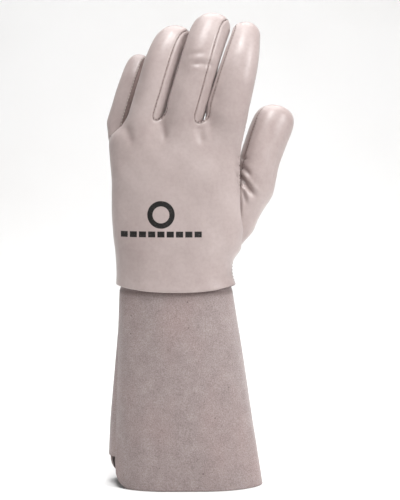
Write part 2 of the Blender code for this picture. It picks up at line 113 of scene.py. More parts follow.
def mottled(tree, place, blotches, dark, light, low=0.3, high=0.7):
    # two colours that follow soft blotches, going over from one to the other between low and high
    fog = addNode(tree, "ShaderNodeTexNoise", {"Vector": place, **blotches})
    ramp = addNode(tree, "ShaderNodeValToRGB", {"Fac": fog})
    ends = ramp.color_ramp.elements
    ends[0].position, ends[1].position = low, high
    ends[0].color, ends[1].color = linearColour(dark), linearColour(light)
    return ramp


def paintShade(tree, colour, strength, code):
    # the attribute is painted shade: 1 in a seam's groove and 0 away from it; deep creases and the cuff just
    # below the hand's hem carry some too
    painted_shade = addNode(tree, "ShaderNodeAttribute", attribute_name="painted_shade").outputs["Fac"]
    shadeAmount = addNode(tree, "ShaderNodeMath", {0: painted_shade, 1: strength}, operation="MULTIPLY", use_clamp=True)
    return addNode(tree, "ShaderNodeMix", {0: shadeAmount, 6: colour, 7: code}, data_type="RGBA").outputs[2]


# A Mix node takes its factor at input 0 and its colours at 6 and 7, and gives its colour at output 2.

# The plain print on the back of the hand, a ring over a row of bars. Its heights are above the cuff
# and above the ring's middle.
printLook = {
    "ink": "#141211", "middle": (-29.3, 58.0), "ringRadius": 8.3, "ringWidth": 4.0,
    "rowHeight": -14.6, "rowLength": 62.0, "barHeight": 4.4, "barPitch": 6.95, "barLength": 5.4,
    "behind": -14.0,    # only skin further back than this is printed
    "wear": {"Scale": perMm(1.1), "Detail": 3.0, "Roughness": 0.6},
    "worn": "#e6e6e6", "wearFrom": 0.28, "wearTo": 0.42,
}


def printMask(tree, place):
    look = printLook
    markX, markZ = look["middle"]
    axes = addNode(tree, "ShaderNodeSeparateXYZ", {"Vector": place})
    x = addNode(tree, "ShaderNodeMath", {0: axes.outputs["X"], 1: (markX + shift[0]) * mm},
                operation="SUBTRACT")
    z = addNode(tree, "ShaderNodeMath", {0: axes.outputs["Z"], 1: (markZ + cuffLength + shift[2]) * mm},
                operation="SUBTRACT")

    def within(value, middle, width):
        off = addNode(tree, "ShaderNodeMath", {0: value, 1: middle * mm}, operation="SUBTRACT")
        distance = addNode(tree, "ShaderNodeMath", {0: off}, operation="ABSOLUTE")
        return addNode(tree, "ShaderNodeMath", {0: distance, 1: width / 2 * mm}, operation="LESS_THAN")

    squares = [addNode(tree, "ShaderNodeMath", {0: v, 1: v}, operation="MULTIPLY") for v in (x, z)]
    away = addNode(tree, "ShaderNodeMath", {0: squares[0], 1: squares[1]}, operation="ADD")
    away = addNode(tree, "ShaderNodeMath", {0: away}, operation="SQRT")
    onRing = within(away, look["ringRadius"], look["ringWidth"])
    along = addNode(tree, "ShaderNodeMath", {0: x, 1: look["barPitch"] / 2 * mm}, operation="PINGPONG")
    bars = addNode(tree, "ShaderNodeMath", {0: along, 1: look["barLength"] / 2 * mm}, operation="LESS_THAN")
    for limit in (within(x, 0.0, look["rowLength"]), within(z, look["rowHeight"], look["barHeight"])):
        bars = addNode(tree, "ShaderNodeMath", {0: bars, 1: limit}, operation="MULTIPLY")
    mask = addNode(tree, "ShaderNodeMath", {0: onRing, 1: bars}, operation="MAXIMUM")
    onBack = addNode(tree, "ShaderNodeMath", {0: axes.outputs["Y"], 1: (look["behind"] + shift[1]) * mm},
                     operation="LESS_THAN")
    wear = mottled(tree, place, look["wear"], look["worn"], "#ffffff", look["wearFrom"], look["wearTo"])
    for limit in (onBack, wear):
        mask = addNode(tree, "ShaderNodeMath", {0: mask, 1: limit}, operation="MULTIPLY")
    return mask


# Full-grain goat hide, chrome tanned and drummed soft: smooth, with fine pores, a soft gloss
# on its bends and a faint cloudiness from the dye.
grainLook = {
    "dark": "#a89895", "light": "#bfb1ae", "cloud": {"Scale": perMm(38.0), "Detail": 3.0, "Roughness": 0.55},
    "fleck": "#e9e3e2", "fleckAmount": 0.35, "flecks": {"Scale": perMm(2.6), "Detail": 4.0, "Roughness": 0.6},
    # seam and seamAmount paint shade into the seams and the deep creases
    "seam": "#66534e", "seamAmount": 1.0,
    "poreSize": 0.9, "poreStrength": 0.35, "poreDepth": 0.05,
    "folds": {"Scale": perMm(7.0), "Detail": 5.0, "Roughness": 0.62}, "foldStrength": 0.5, "foldDepth": 0.36,
    "glossy": "#969696", "dull": "#acacac", "gloss": {"Scale": perMm(14.0), "Detail": 3.0, "Roughness": 0.5},
    "shader": {"Roughness": 0.4, "Specular IOR Level": 0.5, "IOR": 1.5,
               "Sheen Weight": 0.12, "Sheen Roughness": 0.5},
}


def grainLeather(name, printed=False):
    look = grainLook
    material, tree, shader, place = newMaterial(name, look["shader"])
    cloud = mottled(tree, place, look["cloud"], look["dark"], look["light"], 0.25, 0.75)
    fleck = mottled(tree, place, look["flecks"], look["fleck"], "#ffffff", 0.3, 0.6)
    colour = addNode(tree, "ShaderNodeMix", {0: look["fleckAmount"], 6: cloud, 7: fleck},
                     data_type="RGBA", blend_type="MULTIPLY").outputs[2]
    colour = paintShade(tree, colour, look["seamAmount"], look["seam"])
    if printed:
        colour = addNode(tree, "ShaderNodeMix", {0: printMask(tree, place), 6: colour, 7: printLook["ink"]},
                         data_type="RGBA").outputs[2]
    pores = addNode(tree, "ShaderNodeTexVoronoi", {"Vector": place, "Scale": perMm(look["poreSize"])})
    bump = addNode(tree, "ShaderNodeBump", {
        "Strength": look["poreStrength"], "Distance": look["poreDepth"] * mm, "Height": pores})
    folds = addNode(tree, "ShaderNodeTexNoise", {"Vector": place, **look["folds"]})
    bump = addNode(tree, "ShaderNodeBump", {
        "Strength": look["foldStrength"], "Distance": look["foldDepth"] * mm,
        "Height": folds, "Normal": bump})
    gloss = mottled(tree, place, look["gloss"], look["glossy"], look["dull"])
    setInputs(tree, shader, {"Base Color": colour, "Roughness": gloss, "Normal": bump})
    return material


# Split cowhide, the inner layer of the hide, brushed to a nap: matt, fuzzy and mottled pink.
splitLook = {
    "dark": "#9c8e8c", "light": "#b5a8a6", "mottle": {"Scale": perMm(9.0), "Detail": 4.0, "Roughness": 0.6},
    "pink": "#ae9996", "blush": {"Scale": perMm(34.0), "Detail": 2.0, "Roughness": 0.5},
    "blushStretch": (1.0, 1.0, 0.5), "blushFrom": 0.47, "blushGain": 2.2,
    "napShade": "#bdb3b2", "napAmount": 0.75, "nap": {"Scale": perMm(0.85), "Detail": 3.0, "Roughness": 0.7},
    "napStrength": 0.75, "napDepth": 0.35,
    "speck": "#5c4b49", "speckAmount": 0.65, "speckPitch": 15.0,
    "speckReach": 0.042,    # share of the pitch
    # seam and seamAmount paint shade into the seams and a shadow just below the hand's hem, and darken the
    # cuff's cut edges
    "seam": "#65524e", "seamAmount": 0.7,
    "shader": {"Roughness": 0.95, "Specular IOR Level": 0.15, "Sheen Weight": 0.35, "Sheen Roughness": 0.55},
}


def splitLeather(name, dark=splitLook["dark"], light=splitLook["light"]):
    look = splitLook
    material, tree, shader, place = newMaterial(name, look["shader"])
    mottle = mottled(tree, place, look["mottle"], dark, light, 0.2, 0.8)
    tall = addNode(tree, "ShaderNodeMapping", {"Vector": place, "Scale": look["blushStretch"]})
    blush = addNode(tree, "ShaderNodeTexNoise", {"Vector": tall, **look["blush"]})
    for operation, amount in (("SUBTRACT", look["blushFrom"]), ("MULTIPLY", look["blushGain"])):
        blush = addNode(tree, "ShaderNodeMath", {0: blush, 1: amount}, operation=operation, use_clamp=True)
    colour = addNode(tree, "ShaderNodeMix", {0: blush, 6: mottle, 7: look["pink"]},
                     data_type="RGBA").outputs[2]
    napTone = mottled(tree, place, look["nap"], look["napShade"], "#ffffff", 0.32, 0.62)
    colour = addNode(tree, "ShaderNodeMix", {0: look["napAmount"], 6: colour, 7: napTone},
                     data_type="RGBA", blend_type="MULTIPLY").outputs[2]
    speck = addNode(tree, "ShaderNodeTexVoronoi", {
        "Vector": place, "Scale": perMm(look["speckPitch"]), "Randomness": 1.0})
    for operation, amount in (("LESS_THAN", look["speckReach"]), ("MULTIPLY", look["speckAmount"])):
        speck = addNode(tree, "ShaderNodeMath", {0: speck, 1: amount}, operation=operation)
    colour = addNode(tree, "ShaderNodeMix", {0: speck, 6: colour, 7: look["speck"]},
                     data_type="RGBA").outputs[2]
    colour = paintShade(tree, colour, look["seamAmount"], look["seam"])
    nap = addNode(tree, "ShaderNodeTexNoise", {"Vector": place, **look["nap"]})
    bump = addNode(tree, "ShaderNodeBump", {
        "Strength": look["napStrength"], "Distance": look["napDepth"] * mm, "Height": nap})
    setInputs(tree, shader, {"Base Color": colour, "Normal": bump})
    return material


# Spun aramid sewing thread, three-ply and matt, in two colours: cream, and a brown one.
threadLook = {
    "soil": {"Scale": perMm(3.0), "Detail": 2.0, "Roughness": 0.5}, "plyStrength": 0.5, "plyDepth": 0.1,
    "ply": {"Scale": perMm(0.35), "Detail": 1.0, "Roughness": 0.5},
    "shader": {"Roughness": 0.8, "Sheen Weight": 0.3},
}


def aramidThread(name, dark, light):
    look = threadLook
    material, tree, shader, place = newMaterial(name, look["shader"])
    ply = addNode(tree, "ShaderNodeTexNoise", {"Vector": place, **look["ply"]})
    bump = addNode(tree, "ShaderNodeBump", {
        "Strength": look["plyStrength"], "Distance": look["plyDepth"] * mm, "Height": ply})
    colour = mottled(tree, place, look["soil"], dark, light)
    setInputs(tree, shader, {"Base Color": colour, "Normal": bump})
    return material


grain = grainLeather("full_grain_hide")
printedGrain = grainLeather("full_grain_hide_printed", True)
split = splitLeather("brushed_split_hide")
# a darker split leather as painted shade, for the little finger's inner side and the fork between the ring
# and little fingers
shadedSplit = splitLeather("flesh_side_of_hide", "#6a5a57", "#97857f")
paleThread = aramidThread("aramid_thread_cream", "#cfc6bd", "#efe9e2")
brownThread = aramidThread("aramid_thread_brown", "#584641", "#7c6861")
print("materials made")

# the shapes that the skin shares with the solids


def rounded(value, squareness):
    return math.copysign(abs(value) ** (2 / squareness), value)


def ovalPoint(middle, across, palmward, halfWidth, backDepth, palmDepth, angle, squareness=2.3):
    depth = backDepth if math.sin(angle) >= 0 else palmDepth
    return middle + across * (halfWidth * rounded(math.cos(angle), squareness)) \
        - palmward * (depth * rounded(math.sin(angle), squareness))


xAxis, yAxis = np.array([1.0, 0, 0]), np.array([0, 1.0, 0])

digitSizes = {
    "index": {"root": (19.9, -7.0, 280.0), "lean": 13.2, "length": 81.5, "knuckle": 40.0, "halfWidth": 15.0,
              "halfDepth": 12.6, "tip": 0.76, "twist": 4.0, "folds": (1.35, 1.45)},
    "middle": {"root": (-11.3, -9.0, 283.0), "lean": 15.2, "length": 85.5, "knuckle": 42.0, "halfWidth": 14.4,
               "halfDepth": 12.8, "tip": 1.0, "twist": 24.0, "folds": (1.35, 1.45)},
    "ring": {"root": (-40.6, -5.0, 284.0), "lean": 16.2, "length": 75.0, "knuckle": 38.0, "halfWidth": 13.2,
             "halfDepth": 12.0, "tip": 0.97, "twist": 30.0, "folds": (1.35, 1.45)},
    "little": {"root": (-63.0, 10.0, 275.0), "lean": 15.4, "length": 61.0, "knuckle": 31.0, "halfWidth": 9.8,
               "halfDepth": 9.4, "tip": 0.96, "twist": 38.0, "folds": (1.35, 1.45)},
    "thumb": {"root": (42.0, 13.0, 227.0), "lean": 15.5, "length": 69.5, "knuckle": 37.0, "halfWidth": 16.8,
              "halfDepth": 14.4, "tip": 0.98, "twist": -34.0, "folds": (1.1, 1.25)},
}
fingerNames = ["index", "middle", "ring", "little"]
fingerSway = {   # mm that each tip leans towards the thumb, and how late along the digit it does
    "index": (0.0, 2.0), "middle": (4.0, 6.0), "ring": (7.0, 6.0), "little": (2.2, 2.2), "thumb": (3.0, 5.0),
}
digitShape = {"rootTilt": 5.0, "lowerBend": 9.0, "upperBend": 30.0, "thumbTilt": 8.0, "thumbBend": 10.0,
              "dome": 1.05, "domePower": 2.3, "taperPower": 2.5, "seamAngle": 38.0, "squareness": 2.12,
              "crotchDrop": 5.0, "narrowest": 9.0}
seamAngle = math.radians(digitShape["seamAngle"])


def makeDigit(name):
    sizes = dict(digitSizes[name])
    lean = math.radians(sizes["lean"])
    isThumb = name == "thumb"
    sizes.update({
        "name": name, "root": np.array(sizes["root"]),
        "up": np.array([math.sin(lean), 0, math.cos(lean)]),
        "across": np.array([math.cos(lean), 0, -math.sin(lean)]),
        "tilt": math.radians(digitShape["thumbTilt" if isThumb else "rootTilt"]),
        "lowerBend": math.radians(digitShape["thumbBend" if isThumb else "lowerBend"]),
        "upperBend": math.radians(digitShape["thumbBend" if isThumb else "upperBend"]),
        "twist": math.radians(sizes["twist"]), "domeLength": digitShape["dome"] * sizes["halfDepth"]})
    sizes["straight"] = sizes["length"] - sizes["domeLength"]
    rootFold = sizes["folds"][0] * sizes["halfDepth"]
    halfMid = sizes["folds"][1] * sizes["halfDepth"] / 2
    sizes["rootFold"] = rootFold
    sizes["midStart"], sizes["midEnd"] = sizes["knuckle"] - halfMid, sizes["knuckle"] + halfMid
    sizes["cut"] = (rootFold + sizes["midStart"]) / 2      # where the lower piece of skin meets the upper one
    return sizes


def spine(part, s):
    point, tilt = part["root"].copy(), part["tilt"]
    arcs = ((part["knuckle"], part["lowerBend"]), (part["length"] - part["knuckle"], part["upperBend"]))
    for length, bend in arcs:
        run = min(s, length)
        turn = bend / length
        end = tilt + turn * run
        point = point + part["up"] * ((math.sin(end) - math.sin(tilt)) / turn) \
            + yAxis * ((math.cos(tilt) - math.cos(end)) / turn)
        tilt = end
        s -= run
    return point, tilt


def sway(part, s):
    amount, power = fingerSway[part["name"]]
    return part["across"] * (amount * (max(s, 0) / part["length"]) ** power)


def girth(part, s):
    if s <= part["straight"]:
        return 1 - (1 - part["tip"]) * (max(s, 0) / part["straight"]) ** digitShape["taperPower"]
    upTheDome = min(1.0, (s - part["straight"]) / part["domeLength"])
    return part["tip"] * (1 - upTheDome ** digitShape["domePower"]) ** (1 / digitShape["domePower"])


def narrowed(part, s, angle):
    # the side strips run out narrow over the dome of the tip
    t = min(max((s - part["straight"]) / part["domeLength"], 0.0), 1.0)
    least = math.radians(digitShape["narrowest"])
    strip = least + (seamAngle - least) * (1 - t * t * (3 - 2 * t))
    turns, within = divmod(angle + seamAngle, math.pi)
    within -= seamAngle
    if within <= seamAngle:
        return turns * math.pi + within * strip / seamAngle
    panel = (math.pi - 2 * strip) / (math.pi - 2 * seamAngle)
    return turns * math.pi + strip + (within - seamAngle) * panel


def section(part, s, degrees, fuller=0.0):
    angle = math.radians(degrees)
    if part["name"] != "thumb":
        angle = narrowed(part, s, angle)
    middle, tilt = spine(part, s)
    palmward = yAxis * math.cos(tilt) - part["up"] * math.sin(tilt)
    size = girth(part, s)
    fuller *= math.sin(math.pi * min(max(s / part["straight"], 0), 1)) ** 0.7
    width, depth = (part["halfWidth"] + fuller) * size, (part["halfDepth"] + fuller) * size
    return sway(part, s) + ovalPoint(middle, part["across"], palmward, width, depth, depth,
                                     angle + part["twist"], digitShape["squareness"])


digits = {name: makeDigit(name) for name in digitSizes}
fullness = {   # mm that the skin stands out from the solid halfway along each digit
    "index": 0.2, "middle": 0.4, "ring": 0.2, "little": 0.1, "thumb": 0.3,
}
cheek = {"index": 4.2, "middle": 2.1, "ring": 0.5}   # mm that a root swells towards the next finger
cheekShape = {"halfAngle": 48.0, "atRoot": 0.4, "fullAt": 4.0, "fadesOver": 32.0}


def fingerPoint(part, s, degrees):
    point = section(part, s, degrees, fullness[part["name"]])
    if part["name"] not in cheek:
        return point
    facing = math.exp(-((degrees - 180) / cheekShape["halfAngle"]) ** 2)
    rise = cheekShape["atRoot"] + (1 - cheekShape["atRoot"]) * min(s / cheekShape["fullAt"], 1.0)
    rise *= math.exp(-(s / cheekShape["fadesOver"]) ** 2)
    return point - part["across"] * (cheek[part["name"]] * facing * rise)


# the angles of the points round each digit: the panels' seams, with a support line on each side of them
ringAngles = {
    "index": [0, 7, 25, 45, 67, 90, 113, 136, 142, 148, 180, 212, 218, 224, 247, 270, 293, 315, 335, 353],
    "middle": [38, 44, 67, 90, 113, 136, 142, 148, 180, 212,
               218, 224, 247, 270, 293, 316, 322, 328, 360, 392],
    "little": [38, 44, 67, 90, 113, 136, 158, 180, 202, 212,
               218, 224, 247, 270, 293, 316, 322, 328, 360, 392],
}
ringAngles["ring"] = ringAngles["middle"]
panelSpans = {   # first point of each panel round the ring
    "index": (("back", 0), ("inner_side", 8), ("palm", 12)),
    "middle": (("back", 0), ("ulnar_side", 6), ("palm", 10), ("radial_side", 16)),
    "ring": (("back", 0), ("ulnar_side", 6), ("palm", 10), ("radial_side", 16)),
    "little": (("back", 0), ("palm", 10), ("inner_side", 16)),
}
backPoints = {"index": 9, "middle": 7, "ring": 7, "little": 11}
palmStart = {"index": 12, "middle": 10, "ring": 10, "little": 10}
palmPoints = {"index": 9, "middle": 7, "ring": 7, "little": 7}

handShape = {
    "wristStep": 2.2, "hemLift": 3.4, "hemLiftTop": 22.0, "holeRoundness": 0.9, "ulnarSeam": 236.0,
    "rows": 16, "foldHeight": 27.0,
    # height above the cuff and mm outwards of each row of the hem
    "wristRows": ((0.0, -0.35), (0.25, 0.25), (1.2, 0.5), (3.2, 0.25), (6.5, 0.0), (11.0, 0.0), (16.0, 0.0),
                  (21.5, 0.0)),
    # height above the cuff, middle, half width, depth of the back and depth of the palm
    "sections": ((20, (-19.4, -6.5), 45.2, 25, 27), (44, (-18.4, -6.5), 48.6, 23, 27),
                 (80, (-18.6, -6.0), 49.2, 20, 24.5), (106, (-18.8, -3.5), 50.0, 19, 20.5)),
    "holeRows": (0, 11), "holeColumns": (26, 36), "thumbFlare": 16.0, "flareRows": 5,
}

cage = {"points": [], "faces": [], "labels": []}
labelNames = []


def addPoint(point):
    cage["points"].append(np.asarray(point, float))
    return len(cage["points"]) - 1


def addFace(corners, label):
    if label not in labelNames:
        labelNames.append(label)
    cage["faces"].append(tuple(corners))
    cage["labels"].append(labelNames.index(label))


def addStrip(rowA, rowB, labels, closed=False):
    count = len(rowA)
    for i in range(count if closed else count - 1):
        j = (i + 1) % count
        label = labels[i] if isinstance(labels, list) else labels
        addFace((rowA[i], rowA[j], rowB[j], rowB[i]), label)


def evenAngles(halfWidth, backDepth, palmDepth, start, end, shares):
    steps = np.linspace(start, end, 241)
    here = np.array([ovalPoint(np.zeros(3), xAxis, yAxis, halfWidth, backDepth, palmDepth, a) for a in steps])
    lengths = np.concatenate([[0.0], np.cumsum(np.linalg.norm(np.diff(here, axis=0), axis=1))])
    return np.interp(np.array(shares) * lengths[-1], lengths, steps)


def smoothThrough(knots, points, at):
    slopes = []
    for i in range(len(points)):
        low, high = max(i - 1, 0), min(i + 1, len(points) - 1)
        slopes.append((points[high] - points[low]) / (knots[high] - knots[low]))
    i = min(max(sum(k <= at for k in knots) - 1, 0), len(knots) - 2)
    span = knots[i + 1] - knots[i]
    t = (at - knots[i]) / span
    return points[i] * (2 * t**3 - 3 * t**2 + 1) + slopes[i] * (span * (t**3 - 2 * t**2 + t)) \
        + points[i + 1] * (3 * t**2 - 2 * t**3) + slopes[i + 1] * (span * (t**3 - t**2))


def crotchLine(outer, inner, k):
    # three points of the line from one finger to the next; k is 0 at the back and 1 at the palm
    a = fingerPoint(outer, 0, 180 - digitShape["seamAngle"] + k * 2 * digitShape["seamAngle"])
    b = fingerPoint(inner, 0, digitShape["seamAngle"] - k * 2 * digitShape["seamAngle"])
    up = outer["up"] + inner["up"]
    up /= np.linalg.norm(up)
    return [(a + b) / 2 + (a - b) / 2 * math.cos(t) - up * (digitShape["crotchDrop"] * math.sin(t))
            for t in np.radians([45, 90, 135])]


def handColumns(top, start, end):
    lengths = np.concatenate([[0.0], np.cumsum(np.linalg.norm(np.diff(np.array(top), axis=0), axis=1))])
    shares = lengths / lengths[-1]
    step = handShape["wristStep"]
    ovals = ((0, cuffTop["middle"], cuffTop["halfWidth"] + step, cuffTop["halfDepth"] + step,
              cuffTop["halfDepth"] + step),) + handShape["sections"]
    lines = []
    for height, middle, halfWidth, backDepth, palmDepth in ovals:
        centre = np.array([middle[0], middle[1], cuffLength + height])
        angles = evenAngles(halfWidth, backDepth, palmDepth, start, end, shares)
        line = [ovalPoint(centre, xAxis, yAxis, halfWidth, backDepth, palmDepth, a) for a in angles]
        lines.append(np.array(line))
    lines.append(np.array(top))
    crotchHeight = float(np.mean([p[2] for p in top])) - cuffLength
    knots = [cut[0] for cut in ovals] + [crotchHeight]
    return (lambda height: smoothThrough(knots, lines, height)), crotchHeight


# the hand's top edge, along the roots of the fingers
backTop, palmTop = [], []
for i, name in enumerate(fingerNames):
    part, angles = digits[name], ringAngles[name]
    backTop += [fingerPoint(part, 0, a) for a in angles[:backPoints[name]]]
    closing = [360] if name == "index" else []
    ownPalm = [fingerPoint(part, 0, a) for a in (angles[palmStart[name]:] + closing)[:palmPoints[name]]]
    if i < 3:
        neighbour = digits[fingerNames[i + 1]]
        backTop += crotchLine(part, neighbour, 0)
        ownPalm = crotchLine(part, neighbour, 1)[::-1] + ownPalm
    palmTop = ownPalm + palmTop
ulnar = math.radians(handShape["ulnarSeam"])
backRow, backEnd = handColumns(backTop, 0.0, ulnar)
palmRow, palmEnd = handColumns(palmTop, ulnar, 2 * math.pi)

handRows = []
for height, out in handShape["wristRows"]:
    handRows.append((height, height, out))
for i in range(handShape["rows"] + 1):
    t = i / handShape["rows"]
    fold = handShape["foldHeight"]
    handRows.append((fold + (backEnd - fold) * t, fold + (palmEnd - fold) * t, 0.0))
backIds, palmIds = [], []
for backHeight, palmHeight, out in handRows:
    back, palm = backRow(backHeight), palmRow(palmHeight)
    lift = handShape["hemLift"] * max(0.0, 1 - backHeight / handShape["hemLiftTop"]) ** 1.5
    for line in (back, palm):
        line[:, 2] += lift * np.abs((line[:, 0] - cuffTop["middle"][0]) / cuffTop["halfWidth"]) ** 2
    if out:
        middle = np.array([cuffTop["middle"][0], cuffTop["middle"][1], 0])
        for line in (back, palm):
            away = (line - middle) * (1, 1, 0)
            line += away / np.linalg.norm(away, axis=1)[:, None] * out
    backLine = [addPoint(p) for p in back]
    palmIds.append([backLine[-1]] + [addPoint(p) for p in palm[1:-1]] + [backLine[0]])
    backIds.append(backLine)
firstRow = len(handShape["wristRows"])
holeLow, holeHigh = (firstRow + r for r in handShape["holeRows"])
holeLeft, holeRight = handShape["holeColumns"]


def palmPoint(row, column):
    line = palmRow(float(np.interp(row, range(len(handRows)), [r[1] for r in handRows])))
    return np.array([np.interp(column, range(len(line)), line[:, i]) for i in range(3)])


# the thumb's opening: its corners drawn in to an oval
rowMiddle, rowReach = (holeLow + holeHigh) / 2, (holeHigh - holeLow) / 2
columnMiddle, columnReach = (holeLeft + holeRight) / 2, (holeRight - holeLeft) / 2
for r in range(holeLow, holeHigh + 1):
    for c in range(holeLeft, holeRight + 1):
        if r in (holeLow, holeHigh) or c in (holeLeft, holeRight):
            v, u = (r - rowMiddle) / rowReach, (c - columnMiddle) / columnReach
            rounding = handShape["holeRoundness"] / 2
            row = rowMiddle + rowReach * v * math.sqrt(1 - rounding * u * u)
            column = columnMiddle + columnReach * u * math.sqrt(1 - rounding * v * v)
            cage["points"][palmIds[r][c]] = palmPoint(row, column)
for r in range(len(handRows) - 1):
    addStrip(backIds[r], backIds[r + 1], "hand_back")
    for c in range(len(palmIds[r]) - 1):
        if not (holeLow <= r < holeHigh and holeLeft <= c < holeRight):
            low, high = palmIds[r], palmIds[r + 1]
            addFace((low[c], low[c + 1], high[c + 1], high[c]), "hand_palm")

# finger roots and the forks between them
rootRings = {}
backColumn, palmColumn = {}, {}
backAt = 0
for name in fingerNames:
    backColumn[name] = backAt
    backAt += backPoints[name] + 3
palmAt = 0
for name in reversed(fingerNames):
    palmColumn[name] = palmAt
    palmAt += palmPoints[name] + 3
for name in fingerNames:
    ring = [None] * 20
    for i in range(backPoints[name]):
        ring[i] = backIds[-1][backColumn[name] + i]
    for i in range(palmPoints[name]):
        ring[(palmStart[name] + i) % 20] = palmIds[-1][palmColumn[name] + i]
    for i in range(20):
        if ring[i] is None:
            ring[i] = addPoint(fingerPoint(digits[name], 0, ringAngles[name][i]))
    rootRings[name] = ring
outerSide = {"index": [8, 9, 10, 11, 12], "middle": [6, 7, 8, 9, 10], "ring": [6, 7, 8, 9, 10]}
innerSide = [0, 19, 18, 17, 16]
forkLines = (0, 6 / 76, 0.5, 70 / 76, 1)    # shares of the way from the back seam to the palm seam
for a, b in zip(fingerNames, fingerNames[1:]):
    lines = []
    for j, k in enumerate(forkLines):
        first, last = rootRings[a][outerSide[a][j]], rootRings[b][innerSide[j]]
        if j == 0:
            start = backColumn[a] + backPoints[a]
            between = backIds[-1][start:start + 3]
        elif j == 4:
            start = palmColumn[b] + palmPoints[b]
            between = palmIds[-1][start:start + 3][::-1]
        else:
            between = [addPoint(p) for p in crotchLine(digits[a], digits[b], k)]
        lines.append([first] + between + [last])
    for low, high in zip(lines, lines[1:]):
        addStrip(low, high, f"{a}_{b}_fork")


tipFlatness = 0.95      # share of the rise to the tip that its middle row of points takes
stationAngles = (0, 20, 38, 53, 66, 76)     # degrees up the dome of the tip of the last rings of points


def capTip(part, ring, pairs, ends, labelA, labelB):
    # closes the tip with one row of points along the seam over it
    pole = spine(part, part["length"])[0] + sway(part, part["length"])
    ringMiddle = sum(cage["points"][i] for i in ring) / len(ring)
    rise = pole - ringMiddle
    widest = max(np.linalg.norm(cage["points"][i] - ringMiddle) for i in ring)
    middles = []
    for a, b in pairs:
        flat = (cage["points"][a] + cage["points"][b]) / 2
        off = np.linalg.norm(flat - ringMiddle) / widest
        middles.append(addPoint(flat + rise * max(0.0, 1 - off**2) * tipFlatness))
    for i in range(len(pairs) - 1):
        (a, b), (c, d) = pairs[i], pairs[i + 1]
        addFace((a, c, middles[i + 1], middles[i]), labelA)
        addFace((middles[i], middles[i + 1], d, b), labelB)
    for corners, label in ends(middles):
        addFace(corners, label)


def stationsOf(part, spacing=5.4):
    marks = [0.0, part["cut"], part["straight"]]
    stations = []
    for low, high in zip(marks, marks[1:]):
        count = max(1, round((high - low) / spacing))
        stations += [low + (high - low) * i / count for i in range(count)]
    stations += [part["straight"] + part["domeLength"] * math.sin(math.radians(a)) for a in stationAngles]
    return stations


def panelOf(name, i):
    found = panelSpans[name][0][0]
    for panel, start in panelSpans[name]:
        if i >= start:
            found = panel
    return found


for name in fingerNames:
    part, ring, angles = digits[name], rootRings[name], ringAngles[name]
    for s in stationsOf(part)[1:]:
        level = "lower" if s <= part["cut"] + 1e-6 else "upper"
        new = [addPoint(fingerPoint(part, s, a)) for a in angles]
        addStrip(ring, new, [f"{name}_{panelOf(name, i)}_{level}" for i in range(20)], closed=True)
        ring = new
    back, palm = f"{name}_back_upper", f"{name}_palm_upper"
    if name == "index":
        pairs = [(ring[a], ring[20 - a]) for a in range(1, 9)]
        side = f"{name}_inner_side_upper"
        capTip(part, ring, pairs, lambda m: [
            ((ring[0], ring[1], m[0]), back), ((ring[0], m[0], ring[19]), palm),
            ((ring[8], ring[9], ring[10], m[-1]), side),
            ((m[-1], ring[10], ring[11], ring[12]), side)], back, palm)
    else:
        pairs = [(ring[a], ring[16 - a]) for a in range(0, 7)]
        outer = f"{name}_ulnar_side_upper" if name != "little" else back
        inner = f"{name}_radial_side_upper" if name != "little" else f"{name}_inner_side_upper"
        capTip(part, ring, pairs, lambda m: [
            ((ring[6], ring[7], ring[8], m[-1]), outer), ((m[-1], ring[8], ring[9], ring[10]), outer),
            ((ring[19], ring[0], m[0], ring[18]), inner),
            ((ring[18], m[0], ring[16], ring[17]), inner)], back, palm)

# the thumb, set into the opening of the palm
thumb = digits["thumb"]
columnsInHole = holeRight - holeLeft
loop = [palmIds[holeLow][c] for c in range(holeLeft, holeRight)]
loop += [palmIds[r][holeRight] for r in range(holeLow, holeHigh)]
loop += [palmIds[holeHigh][c] for c in range(holeRight, holeLeft, -1)]
loop += [palmIds[r][holeLeft] for r in range(holeHigh, holeLow, -1)]
loop = loop[columnsInHole // 2:] + loop[:columnsInHole // 2]
turned = round(digitSizes["thumb"]["twist"] / 360 * len(loop))    # the loop turns with the thumb's seams
loop = loop[turned:] + loop[:turned]
half = len(loop) // 2
oneSide = [0.0] + list(np.linspace(5.0, 175.0, half - 1))
thumbAngles = oneSide + [a + 180 for a in oneSide]
loopPoints = np.array([cage["points"][i] for i in loop])
centre = loopPoints.mean(axis=0)
thumbUp = thumb["up"] * math.cos(thumb["tilt"]) + yAxis * math.sin(thumb["tilt"])
ring = loop
for step in range(1, handShape["flareRows"] + 1):
    t = step / handShape["flareRows"]
    new = []
    for i, angle in enumerate(thumbAngles):
        p, q = loopPoints[i], section(thumb, 0, angle)
        out = (q - centre) / np.linalg.norm(q - centre) * handShape["thumbFlare"]
        new.append(addPoint(p * (2 * t**3 - 3 * t**2 + 1) + out * (t**3 - 2 * t**2 + t)
                            + q * (3 * t**2 - 2 * t**3) + thumbUp * handShape["thumbFlare"] * (t**3 - t**2)))
    addStrip(ring, new, "thumb_set_in", closed=True)
    ring = new
for s in stationsOf(thumb)[1:]:
    level = "lower" if s <= thumb["cut"] + 1e-6 else "upper"
    new = [addPoint(section(thumb, s, a, fullness["thumb"])) for a in thumbAngles]
    addStrip(ring, new, [f"thumb_back_{level}"] * half + [f"thumb_palm_{level}"] * half, closed=True)
    ring = new
pairs = [(ring[a], ring[-a]) for a in range(1, half)]
capTip(thumb, ring, pairs, lambda m: [
    ((ring[0], ring[1], m[0]), "thumb_back_upper"), ((ring[0], m[0], ring[-1]), "thumb_palm_upper"),
    ((ring[half - 1], ring[half], m[-1]), "thumb_back_upper"),
    ((m[-1], ring[half], ring[half + 1]), "thumb_palm_upper")], "thumb_back_upper", "thumb_palm_upper")
print("control cage:", len(cage["points"]), "points,", len(cage["faces"]), "faces")

# the smooth skin, made from the cage


